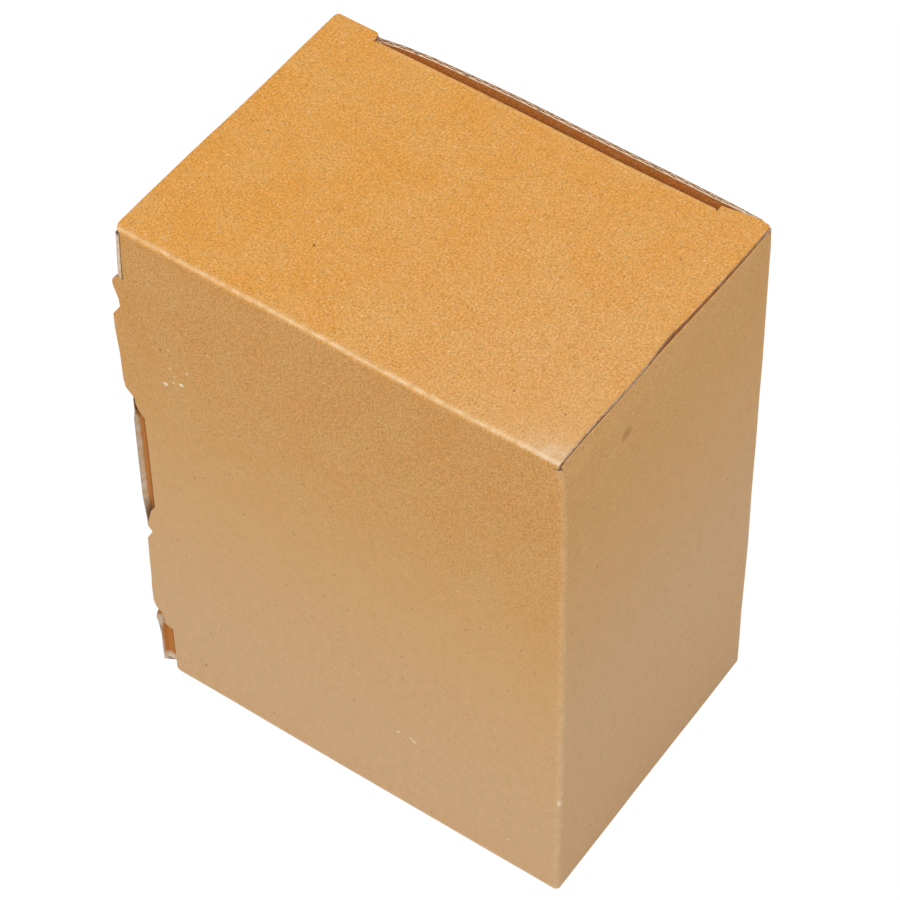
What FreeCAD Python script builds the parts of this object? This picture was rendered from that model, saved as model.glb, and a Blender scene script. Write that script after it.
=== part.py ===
import FreeCAD, Part
import math
import os
import Sketcher

# Closed corrugated tuck-top box, in millimetres.
# Local axes of each body: x from the left wall's outer face, y from the front wall's outer face, z up.
# The placement then puts the origin at the middle of the overall outline, on the ground.

values = {
    "box_width": 109.0,
    "box_depth": 75.6,
    "box_height": 149.0,
    "board": 1.4,
    "fold_round": 1.1,
    "base_round": 0.7,
    # lap strip of the left wall, glued behind the front wall
    "lap_width": 18.0,
    # the fold at its edge stands this far behind the front face and slopes back behind the front wall
    "lap_set": 0.2,
    "lap_slope": 2.6,
    "lap_round": 0.4,
    # cut edge of the front wall: how far it stands in from the left wall, at the top and lower down
    "edge_top": 2.0,
    "edge_middle": 3.2,
    "edge_low": 4.2,
    "corner_top": 1.0,
    "tab_reach": 1.56,
    "corner_notch": 1.6,
    "notch_fall": 0.8,
    "upper_tab_drop": 15.0,
    "lower_tab_rise": 60.6,
    # lid
    "lid_left_inset": 0.9,
    "lid_right_inset": 0.15,
    "shoulder_left": 12.9,
    "shoulder_right": 11.2,
    "slot_gap_left": 0.8,
    "slot_gap_right": 2.5,
    "shoulder_drop": 0.9,
    "corner_cut": 1.6,
    "corner_drop": 0.2,
    "fold_set": 1.6,
    "side_gap": 0.35,
    # tuck flap
    "tuck_length": 15.0,
    "tuck_lean": 7.0,
    "tuck_round": 4.0,
    # dust flaps
    "dust_length": 31.0,
    "dust_front": 2.2,
    "dust_back": 7.0,
    "dust_taper": 4.5,
    # seams of the glued bottom
    "seam_width": 0.5,
    "seam_depth": 0.5,
    "seam_margin": 3.0,
    # how far a cutting outline stands clear of what it cuts
    "spare": 2.0,
}

# Outline of one tab: how far it stands out from the cut edge, and how far below the tab's top.
upper_tab = [
    (0.0, 0.0),
    (2.9, 0.0),
    (3.15, 1.2),
    (1.85, 6.4),
    (2.05, 8.6),
    (3.9, 12.2),
    (4.0, 16.7),
    (3.75, 24.7),
    (4.1, 32.8),
    (3.95, 35.6),
    (2.1, 37.6),
    (2.1, 39.4),
    (1.4, 41.3),
    (0.0, 42.8),
]
lower_tab = [
    (0.0, 0.0),
    (1.4, 2.4),
    (2.4, 6.1),
    (2.9, 8.5),
    (1.95, 9.8),
    (3.5, 13.2),
    (3.95, 21.0),
    (4.0, 27.5),
    (4.2, 31.4),
    (4.4, 37.0),
    (3.95, 38.8),
    (2.25, 40.4),
    (2.0, 43.9),
    (0.0, 44.6),
]

doc = FreeCAD.newDocument("closed_box")
sheet = doc.addObject("Spreadsheet::Sheet", "Sizes")
for row, name in enumerate(values, start=1):
    sheet.set("A%d" % row, name)
    sheet.set("B%d" % row, repr(values[name]))
    sheet.setAlias("B%d" % row, name)
doc.recompute()


def amount(terms):
    """Value of a sum of named sizes; the key "" holds a plain number."""
    return sum(c * (1.0 if n == "" else values[n]) for n, c in terms.items())


def formula(terms):
    parts = ["%r" % c if n == "" else "%r * Sizes.%s" % (c, n) for n, c in terms.items()]
    return " + ".join(parts) if parts else "0"


def plane(body, role):
    return [f for f in body.Origin.OriginFeatures if f.Role == role][0]


def new_body(name):
    body = doc.addObject("PartDesign::Body", name)
    body.Label = name
    body.setExpression("Placement.Base.x", "-(Sizes.box_width - Sizes.tab_reach) / 2")
    body.setExpression("Placement.Base.y", "-Sizes.box_depth / 2")
    return body


def draw(body, name, role, corners, lift=None, arcs=None):
    """Closed outline through corners, each a pair of sums of named sizes.

    arcs gives the centre of each side that is an arc, run anticlockwise, by the number of its first corner.
    """
    arcs = arcs or {}
    sketch = body.newObject("Sketcher::SketchObject", name)
    sketch.AttachmentSupport = [(plane(body, role), "")]
    sketch.MapMode = "FlatFace"
    if lift is not None:
        sketch.AttachmentOffset = FreeCAD.Placement(FreeCAD.Vector(0, 0, amount(lift)), FreeCAD.Rotation())
        sketch.setExpression("AttachmentOffset.Base.z", formula(lift))
    points = [FreeCAD.Vector(amount(x), amount(y), 0) for x, y in corners]
    count = len(points)
    for i in range(count):
        start, end = points[i], points[(i + 1) % count]
        if i in arcs:
            middle = FreeCAD.Vector(amount(arcs[i][0]), amount(arcs[i][1]), 0)
            first, last = start - middle, end - middle
            circle = Part.Circle(middle, FreeCAD.Vector(0, 0, 1), first.Length)
            side = Part.ArcOfCircle(circle, math.atan2(first.y, first.x), math.atan2(last.y, last.x))
        else:
            side = Part.LineSegment(start, end)
        sketch.addGeometry(side, False)
    for i in range(count):
        sketch.addConstraint(Sketcher.Constraint("Coincident", i, 2, (i + 1) % count, 1))
    places = [(i, 1, corner) for i, corner in enumerate(corners)] + [(i, 3, arcs[i]) for i in arcs]
    for i, spot, (x, y) in places:
        for kind, terms in (("DistanceX", x), ("DistanceY", y)):
            if spot == 3 and kind == "DistanceY":
                continue
            index = sketch.addConstraint(Sketcher.Constraint(kind, -1, 1, i, spot, amount(terms)))
            sketch.setExpression("Constraints[%d]" % index, formula(terms))
    return sketch


def pad(body, name, sketch, length, backward=False):
    feature = body.newObject("PartDesign::Pad", name)
    feature.Profile = sketch
    feature.Length = amount(length)
    feature.setExpression("Length", formula(length))
    feature.Reversed = backward
    doc.recompute()
    return feature


def cut_all(body, name, sketch):
    feature = body.newObject("PartDesign::Pocket", name)
    feature.Profile = sketch
    feature.Type = 1
    feature.Midplane = True
    doc.recompute()
    return feature


def groove(body, name, outlines):
    """Shallow grooves on the underside, one per outline."""
    for number, corners in enumerate(outlines, start=1):
        sketch = draw(body, "%sPlan%d" % (name, number), "XY_Plane", corners)
        before = body.Tip.Shape.Volume
        feature = body.newObject("PartDesign::Pocket", "%s%d" % (name, number))
        feature.Profile = sketch
        feature.Length = values["seam_depth"]
        feature.setExpression("Length", "Sizes.seam_depth")
        feature.Reversed = True
        doc.recompute()
        if feature.Shape.Volume >= before:
            raise RuntimeError("no cut by " + feature.Name)


def edges_where(shape, test):
    found = []
    for i, edge in enumerate(shape.Edges, start=1):
        ends = [v.Point for v in edge.Vertexes]
        if len(ends) == 2 and test(ends[0], ends[1]):
            found.append("Edge%d" % i)
    return found


def round_edges(body, name, radius, test):
    base = body.Tip
    names = edges_where(base.Shape, test)
    if not names:
        raise RuntimeError("no edges for " + name)
    feature = body.newObject("PartDesign::Fillet", name)
    feature.Base = (base, names)
    feature.Radius = values[radius]
    feature.setExpression("Radius", "Sizes." + radius)
    doc.recompute()
    return feature


def near(a, b):
    return abs(a - b) < 0.01


def upright(x, y):
    """Test for upright edges at one place in the plan."""
    return lambda p, q: (near(p.x, x) and near(q.x, x) and near(p.y, y) and near(q.y, y)
                         and abs(p.z - q.z) > 1)


width = {"box_width": 1.0}
depth = {"box_depth": 1.0}
height = {"box_height": 1.0}
board = {"board": 1.0}
zero = {}
ledge = {"box_height": 1.0, "board": -1.0}
slot_start = {"shoulder_left": 1.0}
slot_end = {"box_width": 1.0, "shoulder_right": -1.0}


def mirrored(terms):
    flipped = {"box_width": 1.0}
    for name, factor in terms.items():
        flipped[name] = flipped.get(name, 0.0) - factor
    return flipped


sides = [("Left", lambda terms: terms), ("Right", mirrored)]


def front_outline():
    """Front wall seen from the front, with the two hooked tabs on its left cut edge."""
    corners = [
        ({"edge_low": 1.0}, zero),
        (width, zero),
        (width, height),
        ({"corner_top": 1.0}, height),
        ({"corner_top": 1.0}, {"box_height": 1.0, "corner_notch": -1.0}),
        ({"edge_top": 1.0}, {"box_height": 1.0, "corner_notch": -1.0, "notch_fall": -1.0}),
    ]
    tabs = [
        (upper_tab, {"box_height": 1.0, "upper_tab_drop": -1.0}, "edge_top", "edge_middle"),
        (lower_tab, {"lower_tab_rise": 1.0}, "edge_middle", "edge_low"),
    ]
    for shape, top, start, end in tabs:
        last = shape[-1][1]
        for out, down in shape:
            share = down / last
            corners.append(({start: 1.0 - share, end: share, "": -out}, dict(top, **{"": -down})))
    return corners


def base_seams():
    """Lines where the glued bottom flaps meet, like the back of an envelope."""
    half = {"box_depth": 0.5}
    far = {"box_width": 1.0, "box_depth": -0.5}
    middle = [
        (half, {"box_depth": 0.5, "seam_width": -0.5}),
        (far, {"box_depth": 0.5, "seam_width": -0.5}),
        (far, {"box_depth": 0.5, "seam_width": 0.5}),
        (half, {"box_depth": 0.5, "seam_width": 0.5}),
    ]
    outlines = [middle]
    across = math.sqrt(0.5) / 2
    for _, at in sides:
        for sign in (1.0, -1.0):
            start = {"seam_margin": 1.0}
            depth_start = {"seam_margin": 1.0} if sign > 0 else {"box_depth": 1.0, "seam_margin": -1.0}
            outlines.append([
                (at(dict(start, seam_width=across)), dict(depth_start, seam_width=-across * sign)),
                (at(dict(half, seam_width=across)), dict(half, seam_width=-across * sign)),
                (at(dict(half, seam_width=-across)), dict(half, seam_width=across * sign)),
                (at(dict(start, seam_width=-across)), dict(depth_start, seam_width=across * sign)),
            ])
    return outlines


def build_body():
    body = new_body("box_body")
    walls = [
        (zero, {"lap_set": 1.0}),
        (zero, depth),
        (width, depth),
        (width, board),
        ({"box_width": 1.0, "board": -1.0}, board),
        ({"box_width": 1.0, "board": -1.0}, {"box_depth": 1.0, "board": -1.0}),
        (board, {"box_depth": 1.0, "board": -1.0}),
        (board, {"board": 2.0}),
        ({"lap_width": 1.0}, {"board": 2.0}),
        ({"lap_width": 1.0}, board),
        ({"lap_slope": 1.0}, board),
    ]
    pad(body, "Walls", draw(body, "WallPlan", "XY_Plane", walls), ledge)
    w, d, h = (values[n] for n in ("box_width", "box_depth", "box_height"))
    round_edges(body, "BackRightFold", "fold_round", upright(w, d))
    round_edges(body, "BackLeftFold", "fold_round", upright(0, d))
    round_edges(body, "FrontLeftFold", "lap_round", upright(0, values["lap_set"]))
    for side, at in sides:
        low = {"box_height": 1.0, "board": -1.0, "fold_round": -1.0}
        relief = [
            (at({"fold_round": 1.0}), ledge),
            (at({}), low),
            (at({"spare": -1.0}), low),
            (at({"spare": -1.0}), height),
            (at({"fold_round": 1.0}), height),
        ]
        centre = (at({"fold_round": 1.0}), low)
        if side == "Right":
            relief = [relief[1], relief[0]] + relief[:1:-1]
        sketch = draw(body, side + "DustFoldSide", "XZ_Plane", relief, arcs={0: centre})
        cut_all(body, side + "DustFold", sketch)
    front = draw(body, "FrontOutline", "XZ_Plane", front_outline())
    pad(body, "Front", front, board, backward=True)
    base = [
        ({"board": 0.5}, {"board": 2.0}),
        ({"board": 0.5}, {"box_depth": 1.0, "board": -0.5}),
        ({"box_width": 1.0, "board": -0.5}, {"box_depth": 1.0, "board": -0.5}),
        ({"box_width": 1.0, "board": -0.5}, {"board": 0.5}),
        ({"lap_width": 1.0}, {"board": 0.5}),
        ({"lap_width": 1.0}, board),
        ({"fold_round": 1.0}, board),
    ]
    pad(body, "Base", draw(body, "BasePlan", "XY_Plane", base), board)
    round_edges(body, "FrontRightFold", "fold_round", upright(w, 0))
    round_edges(body, "TopFold", "fold_round",
                lambda p, q: near(p.z, h) and near(q.z, h) and near(p.y, 0) and near(q.y, 0))
    round_edges(body, "BaseFolds", "base_round",
                lambda p, q: near(p.z, 0) and near(q.z, 0)
                and ((near(p.y, 0) and near(q.y, 0)) or (near(p.y, d) and near(q.y, d))
                     or (near(p.x, 0) and near(q.x, 0)) or (near(p.x, w) and near(q.x, w))))
    rise = [
        (dict(slot_start, side_gap=1.0), {"box_depth": 1.0, "board": -1.0}),
        (dict(slot_end, side_gap=-1.0), {"box_depth": 1.0, "board": -1.0}),
        (dict(slot_end, side_gap=-1.0), depth),
        (dict(slot_start, side_gap=1.0), depth),
    ]
    pad(body, "BackRise", draw(body, "BackRisePlan", "XY_Plane", rise, {"box_height": 1.0, "board": -1.5}),
        {"board": 1.5})

    for side, at in sides:
        flap = [
            (at({"board": 0.5}), {"dust_front": 1.0}),
            (at({"dust_length": 0.75}), {"dust_front": 1.0}),
            (at({"dust_length": 1.0}), {"dust_front": 1.0, "dust_taper": 1.0}),
            (at({"dust_length": 1.0}), {"box_depth": 1.0, "dust_back": -1.0, "dust_taper": -1.0}),
            (at({"dust_length": 0.5}), {"box_depth": 1.0, "dust_back": -1.0}),
            (at({"board": 0.5}), {"box_depth": 1.0, "dust_back": -1.0}),
        ]
        name = side + "Dust"
        sketch = draw(body, name + "Plan", "XY_Plane", flap, {"box_height": 1.0, "board": -2.0})
        pad(body, name, sketch, board)

    beyond = {"box_height": 1.0, "spare": 1.0}
    mitre = [({"spare": -1.0}, beyond), (board, beyond), (board, ledge)]
    cut_all(body, "FrontMitre", draw(body, "FrontMitreSide", "YZ_Plane", mitre))
    groove(body, "BaseSeam", base_seams())
    return body


def build_lid():
    body = new_body("lid")
    back_left = {"box_depth": 1.0, "board": -1.0, "slot_gap_left": -1.0}
    back_right = {"box_depth": 1.0, "board": -1.0, "slot_gap_right": -1.0}
    end = {"box_width": 1.0, "lid_right_inset": -1.0}
    plan = [
        ({"lid_left_inset": 1.0}, zero),
        (end, zero),
        (end, {"box_depth": 1.0, "corner_cut": -1.0}),
        (dict(end, corner_cut=-1.0), {"box_depth": 1.0, "corner_drop": -1.0}),
        (slot_end, {"box_depth": 1.0, "shoulder_drop": -1.0}),
        (slot_end, dict(back_right, fold_set=-1.0)),
        (slot_start, dict(back_left, fold_set=-1.0)),
        (slot_start, depth),
        ({"lid_left_inset": 1.0, "corner_cut": 1.0}, {"box_depth": 1.0, "corner_drop": -0.5}),
        ({"lid_left_inset": 1.0}, {"box_depth": 1.0, "corner_cut": -1.0}),
    ]
    pad(body, "Panel", draw(body, "PanelPlan", "XY_Plane", plan, ledge), board)

    lean = math.radians(values["tuck_lean"])
    t = values["board"]
    reach = values["tuck_length"]
    fold_low = {"box_height": 1.0, "fold_round": -1.0}
    tip_out = {"tuck_length": -math.sin(lean)}
    tip_low = dict(fold_low, tuck_length=-math.cos(lean))
    flap = [
        ({"fold_set": -2.0}, ledge),
        ({"board": -1.0}, ledge),
        (dict(tip_out, board=-math.cos(lean)), dict(tip_low, board=math.sin(lean))),
        (tip_out, tip_low),
        (zero, fold_low),
        ({"fold_round": -1.0}, height),
        ({"fold_set": -2.0}, height),
    ]
    sketch = draw(body, "TuckSide", "YZ_Plane", flap, arcs={4: ({"fold_round": -1.0}, fold_low)})
    run = amount(slot_end) - amount(slot_start)
    fall = values["slot_gap_right"] - values["slot_gap_left"]
    flap_start = dict(slot_start, side_gap=1.0)
    sketch.AttachmentOffset = FreeCAD.Placement(
        FreeCAD.Vector(amount(back_left), 0, amount(flap_start)),
        FreeCAD.Rotation(FreeCAD.Vector(0, 1, 0), -math.degrees(math.atan2(fall, run))))
    sketch.setExpression("AttachmentOffset.Base.x", formula(back_left))
    sketch.setExpression("AttachmentOffset.Base.z", formula(flap_start))
    pad(body, "Tuck", sketch, dict(slot_end, shoulder_left=-1.0, side_gap=-2.0))

    h = values["box_height"]
    round_edges(body, "TopFold", "fold_round",
                lambda p, q: near(p.z, h) and near(q.z, h) and near(p.y, 0) and near(q.y, 0))
    low = h - values["fold_round"] - reach * math.cos(lean)
    round_edges(body, "TuckCorners", "tuck_round",
                lambda p, q: max(p.z, q.z) < low + t and near(abs(p.z - q.z), t * math.sin(lean)))
    mitre = [
        ({"spare": -1.0}, {"box_height": 1.0, "board": -1.0, "spare": -1.0}),
        ({"board": 1.0, "spare": 1.0}, {"box_height": 1.0, "board": -1.0, "spare": -1.0}),
        (zero, height),
        ({"spare": -1.0}, height),
    ]
    cut_all(body, "LidMitre", draw(body, "LidMitreSide", "YZ_Plane", mitre))
    return body


bodies = [build_body(), build_lid()]
doc.recompute()
for item in doc.Objects:
    if "Invalid" in item.State or "Error" in item.State:
        raise RuntimeError("feature in error: " + item.Name)
os.makedirs("parts", exist_ok=True)
for body in bodies:
    if body.Shape.isNull() or not body.Shape.isValid() or len(body.Shape.Solids) != 1:
        raise RuntimeError("bad shape: " + body.Label)
    body.Shape.exportStep("parts/%s.step" % body.Label)
    box = body.Shape.BoundBox
    print(body.Label, "volume", round(body.Shape.Volume, 1),
          "x %.2f..%.2f y %.2f..%.2f z %.2f..%.2f"
          % (box.XMin, box.XMax, box.YMin, box.YMax, box.ZMin, box.ZMax))
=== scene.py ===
import math
import bmesh
import bpy
from mathutils import Matrix, Vector, noise


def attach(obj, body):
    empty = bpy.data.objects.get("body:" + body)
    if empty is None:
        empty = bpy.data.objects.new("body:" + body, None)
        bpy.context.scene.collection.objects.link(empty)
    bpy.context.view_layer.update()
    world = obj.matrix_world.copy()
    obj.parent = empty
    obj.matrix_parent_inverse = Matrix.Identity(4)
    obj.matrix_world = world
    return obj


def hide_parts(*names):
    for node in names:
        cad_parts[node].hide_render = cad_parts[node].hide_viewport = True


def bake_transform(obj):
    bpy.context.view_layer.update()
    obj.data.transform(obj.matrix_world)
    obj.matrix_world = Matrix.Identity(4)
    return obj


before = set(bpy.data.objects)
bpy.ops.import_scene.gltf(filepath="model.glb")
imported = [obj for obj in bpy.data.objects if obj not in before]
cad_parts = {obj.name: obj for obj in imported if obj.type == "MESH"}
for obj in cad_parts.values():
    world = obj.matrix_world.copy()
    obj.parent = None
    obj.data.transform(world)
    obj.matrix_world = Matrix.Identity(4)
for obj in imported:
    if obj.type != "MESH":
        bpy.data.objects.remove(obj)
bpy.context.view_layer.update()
mm = 0.001
noise.seed_set(5)          # the same unevenness each run

# The folded sheet, in millimetres: x from the left wall, y from the front wall, z up
box = {
    "width": 109.0,
    "depth": 75.6,
    "height": 149.0,
    "board": 1.4,
    "liner": 0.24,
    "medium": 0.15,
    "flute": 3.2,
    "foldRadius": 0.8,
    "pressedBy": 0.5,      # share of the thickness lost at a score line
    "pressedReach": 1.1,
    "wearReach": 1.3,
    "waves": ((26.0, 0.16), (9.0, 0.05)),      # length and height of the small unevenness, coarse and fine
    "groundReach": 14.0,       # below this the unevenness leaves the foot flat
    "play": 0.1,           # air between boards that lie on each other
    "tabReach": 1.56,
    "flapEnd": 0.9,        # how far a base flap's mitre starts from the corner
    "slit": 0.12,          # width of the cut at a dust flap's end
}
origin = Vector(((box["tabReach"] - box["width"]) / 2, -box["depth"] / 2, 0))
quarter = box["foldRadius"] * math.pi / 2                  # length of the paper round a square fold
flapTop = box["height"] - box["board"] - box["play"]       # where the dust flaps' upper faces lie
lidSeam = flapTop                                          # the front wall hands over to the lid here


def wallRuns():
    # the five walls in order round the box: place on the flat sheet, start and direction in plan
    radius, depth, width = box["foldRadius"], box["depth"], box["width"]
    lapSet = carton["lapSet"]
    legs = [("lap", (carton["lapWidth"], lapSet), (-1, 0), carton["lapWidth"] - radius),
            ("left", (0, lapSet + radius), (0, 1), depth - lapSet - 2 * radius),
            ("back", (radius, depth), (1, 0), width - 2 * radius),
            ("right", (width, depth - radius), (0, -1), depth - 2 * radius),
            ("front", (width - radius, 0), (-1, 0), width + 4)]
    runs, place = {}, 0.0
    for name, start, heading, length in legs:
        runs[name] = {"from": place, "to": place + length, "start": Vector(start), "along": Vector(heading)}
        place += length + quarter
    return runs


# The carton: everything but the lid
carton = {
    "lapWidth": 18.0,
    "lapSet": 0.05,        # the fold at the lap strip's edge lies this far behind the front face
    "lapDrop": 1.4,        # and from there the strip goes this much further back, behind the front wall
    "lapSlope": (0.25, 1.1),                      # where that happens along x, and near the top
    "lapSlopeTop": (1.45, 2.3),
    "lapTopFrom": 128.0,
    "tabZones": [(18.0, 51.0), (96.5, 133.6)],    # where the tabs lie on the fold and press it back
    "tabEase": 1.2,                               # how far above and below that the fold comes out again
    "tabDepth": 7.0,                              # and how far along the left wall
    # from, to and how far the fold beside the lap strip stands out
    "foldBulges": [(58.0, 90.0, 0.55), (15.0, 24.0, 1.0), (132.0, 160.0, -0.3), (141.0, 160.0, -0.15)],
    # how far the right wall leans in at the top, from front to back
    "sideBow": [(0.0, 0.2), (2.5, 0.42), (10.0, 0.4), (16.0, 0.3), (26.0, 0.22), (37.0, 0.3), (46.0, 0.0),
                (54.0, -0.22), (68.0, -0.24), (75.6, 0.1)],
    "sideFrom": 90.0,      # height from which it leans
    # how far its front end stands out, from the foot up, and how the left wall's top leans in along y
    "sideFlare": [(0.0, 0.8), (35.0, 1.25), (132.0, 1.4), (142.0, 0.95), (147.5, 0.0)],
    "flareLoss": 0.85,     # share of the flare that is lost toward the back
    "leftBow": [(0.0, 0.0), (12.0, 0.1), (48.0, 0.5), (66.0, 0.75), (75.6, 0.85)],
    "leftFrom": 95.0,
    # how far the front wall's top leans back along x
    "frontLean": [(0.0, 0.42), (35.0, 0.38), (50.0, 0.25), (65.0, 0.06), (88.0, 0.1), (104.0, 0.28)],
    "leanFrom": 136.0,
    "leanReach": (2.0, 14.0),
    # how high the right dust flap's fold swells beside the lid, how wide, and between what ends
    "foldHump": 1.0,
    "humpWidth": 0.5,
    "humpEnds": (1.0, 2.5, 71.5, 73.5),
    "backBow": 0.85,       # how far the back wall stands out at the top, and at mid height
    "backBelly": 0.4,
    "backSpan": (12.0, 52.0),          # the bow sets in here along x, and weakens here
    "backWeakens": (82.0, 104.0),
    # how far the back wall's cut edge is pressed shut along x, and how deep
    "cutPress": [(12.0, 0.5), (95.0, 0.5), (99.0, 0.75), (107.0, 0.95)],
    "pressDepth": 2.0,
    "edgeShut": 0.6,       # how far the front wall's cut edge is pressed shut
    "edgeTop": 2.0,        # how far the front wall's cut edge stands in from the left wall
    "edgeMiddle": 3.2,
    "edgeLow": 4.2,
    "upperTabDrop": 15.0,
    "lowerTabRise": 60.6,
    # each tab's outline: out from the cut edge, and down from the tab's top
    "upperTab": [(0, -0.4), (0.5, -0.65), (1.1, -0.8), (1.7, -0.65), (2.1, -0.4), (2.7, 0.3), (3.15, 1.3),
                 (3.15, 2.5), (2.1, 6.4), (2.05, 8.6), (4.3, 12.2), (4.5, 16.7), (4.3, 24.7), (4.5, 32.8),
                 (4.2, 35.4), (2.1, 37.6), (2.1, 39.4), (1.4, 41.3), (0, 42.8)],
    "lowerTab": [(0, 0), (1.4, 2.4), (2.4, 6.1), (2.9, 8.5), (1.75, 9.8), (3.5, 13.2), (4.0, 21),
                 (4.25, 27.5), (4.6, 31.4), (4.7, 37), (4.2, 38.8), (2.4, 40.4), (2.0, 43.9), (0, 44.6)],
    "shoulderLeft": 12.9,      # widths of the lid's shoulders, and the gap beside them
    "shoulderRight": 11.2,
    "sideGap": 0.35,
    "dustLength": 31.0,        # length of a dust flap, and how far its sides stand in
    "dustFront": 2.2,
    "dustBack": 7.0,
    "dustFold": (1.1, 1.2),    # how near the dust flaps' folds come to the front and back
    "dustTaper": 4.5,
    "seamGap": 0.25,
    "waveSteps": 4,        # straight parts in one flute
}
runs = wallRuns()
order = list(runs.values())


def onWall(name, distance):
    # place along the flat sheet of a point that far along x or y on one wall
    run = runs[name]
    return run["from"] + (Vector((distance, distance)) - run["start"]).dot(run["along"])


def planPoint(u, inset):
    # plan of the walls at place u, that far inside the outer face
    radius = box["foldRadius"]
    for run, following in zip(order, order[1:] + [None]):
        side = Vector((-run["along"].y, run["along"].x))
        if following is None or u <= run["to"]:
            return run["start"] + run["along"] * (u - run["from"]) - side * inset
        if u < following["from"]:
            turn = (u - run["to"]) / radius
            centre = run["start"] + run["along"] * (run["to"] - run["from"]) - side * radius
            return centre + (side * math.cos(turn) + run["along"] * math.sin(turn)) * (radius - inset)


def outside(value, low, high):
    return max(0.0, low - value, value - high)


def pressed(gap):
    return 1 - box["pressedBy"] * math.exp(-(gap / box["pressedReach"]) ** 2)


def rounded(arc, w):
    # a fold that starts at arc 0: distance gone straight on, and distance turned to the inside
    radius = box["foldRadius"]
    turn = min(arc / radius, math.pi / 2)
    return (radius - w) * math.sin(turn), radius - (radius - w) * math.cos(turn) + max(0.0, arc - quarter)


dustFrom, dustTo = carton["dustFold"][0], box["depth"] - carton["dustFold"][1]
hair = 0.02                # tolerance at a cut
dustRanges = [(onWall("left", dustFrom - hair), onWall("left", dustTo + hair)),
              (onWall("right", dustTo + hair), onWall("right", dustFrom - hair))]


def wallGap(u, v):
    # distance on the flat sheet to the nearest fold of the carton
    upright = min(outside(u, run["to"], following["from"]) for run, following in zip(order, order[1:]))
    radius = box["foldRadius"]
    gaps = [upright]
    if u > order[0]["to"]:
        gaps.append(outside(v, radius - quarter, radius))
    if any(low <= u <= high for low, high in dustRanges):
        gaps.append(outside(v, flapTop - radius, flapTop - radius + quarter))
    if u > runs["front"]["from"]:
        gaps.append(outside(v, box["height"] - radius, box["height"] - radius + quarter))
    return min(gaps)


def ease(value, start, end):
    share = min(1.0, max(0.0, (value - start) / (end - start)))
    return share * share * (3 - 2 * share)


def along(table, value):
    # smooth value between the points of a table
    level = table[0][1]
    for (low, before), (high, after) in zip(table, table[1:]):
        level += (after - before) * ease(value, low, high)
    return level


def lapPush(place, u):
    # how far the lap strip and the front end of the left wall are set back
    x, y, z = place
    soft = carton["tabEase"]
    tab = max(ease(z, low - soft, low + soft) * (1 - ease(z, high - soft, high + soft))
              for low, high in carton["tabZones"])
    if u < runs["left"]["from"]:
        slope = carton["lapSlopeTop" if z > carton["lapTopFrom"] else "lapSlope"]
        return carton["lapDrop"] * max(tab, ease(x, *slope))
    radius = box["foldRadius"]
    return carton["lapDrop"] * tab * (1 - ease(y, radius, radius + carton["tabDepth"]))


def bowed(place):
    # lean and belly of the walls
    x, y, z = place
    c, width, depth, height = carton, box["width"], box["depth"], box["height"]
    side = along(c["sideBow"], y) * ease(z, c["sideFrom"], flapTop)
    side -= along(c["sideFlare"], z) * (1 - c["flareLoss"] * y / depth)
    bow = c["backBow"] * ease(z, 0, height)
    back = bow * ease(x, *c["backSpan"]) * (1 - 0.4 * ease(x, *c["backWeakens"]))
    back += c["backBelly"] * math.sin(math.pi * min(1.0, max(0.0, z / height)))
    left = along(c["leftBow"], y) * ease(z, c["leftFrom"], flapTop) * (1 - ease(x, 2, 40))
    # each wall moves alone: the other side of the box stays
    return Vector((x + left - side * ease(x, 55, width), y + back * ease(y, 45, depth), z))


def leanBack(place):
    # the front wall's top and the start of the lid lean back together
    share = ease(place.z, carton["leanFrom"], box["height"] - 0.5) * (1 - ease(place.y, *carton["leanReach"]))
    return place + Vector((0, along(carton["frontLean"], place.x) * share, 0))


def uneven(place):
    # the small unevenness of real board, the same for everything that lies together
    (coarse, high), (fine, low) = box["waves"]
    elsewhere = Vector((7, 3, 5))
    lift = noise.noise_vector(place / coarse) * high + noise.noise_vector(place / fine + elsewhere) * low
    ground = ease(place.z, 0, box["groundReach"])
    return place + Vector((lift.x, lift.y, lift.z * ground))


def foldWall(u, v, w):
    # where a point of the flat sheet, w inside the outer face, lies on the box
    radius = box["foldRadius"]
    w = w * pressed(wallGap(u, v))
    if v > flapTop - radius and any(low <= u <= high for low, high in dustRanges):
        rise, inset = rounded(v - flapTop + radius, w)
        z = flapTop - radius + rise
    elif v < radius:
        rise, inset = rounded(radius - v, w)
        z = radius - rise
    else:
        inset, z = w, v
    flat = planPoint(u, inset)
    place = Vector((flat.x, flat.y, z))
    if dustRanges[1][0] <= u <= dustRanges[1][1]:
        swell = math.exp(-((v - flapTop + radius - 0.35 * quarter) / carton["humpWidth"]) ** 2)
        start, full, fall, end = carton["humpEnds"]
        place.z += carton["foldHump"] * swell * ease(flat.y, start, full) * (1 - ease(flat.y, fall, end))
    if u < runs["left"]["from"] + 9:
        place.y += lapPush(place, u)
        bulge = sum(size * ease(z, low - 2, low + 3) * (1 - ease(z, high - 3, high + 2))
                    for low, high, size in carton["foldBulges"])
        place.x -= bulge * (1 - ease(place.y, 1, 9)) * (1 - ease(place.x, 1, 3))
    return uneven(leanBack(bowed(place)))


def cartonShut(u, v):
    # how far the board is pressed shut there
    back, front = runs["back"], runs["front"]
    if back["from"] < u < back["to"]:
        press = along(carton["cutPress"], u - back["from"] + box["foldRadius"])
        return press * math.exp(-((box["height"] - v) / carton["pressDepth"]) ** 2)
    if abs(u - back["to"] - quarter / 2) < 2:
        return 0.95 * math.exp(-(max(0.0, flapTop - v) / 1.5) ** 2)
    if u > front["from"]:
        return carton["edgeShut"] * (1 - ease(lidX(u), 2.0, 5.0))
    return 0.0


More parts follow.
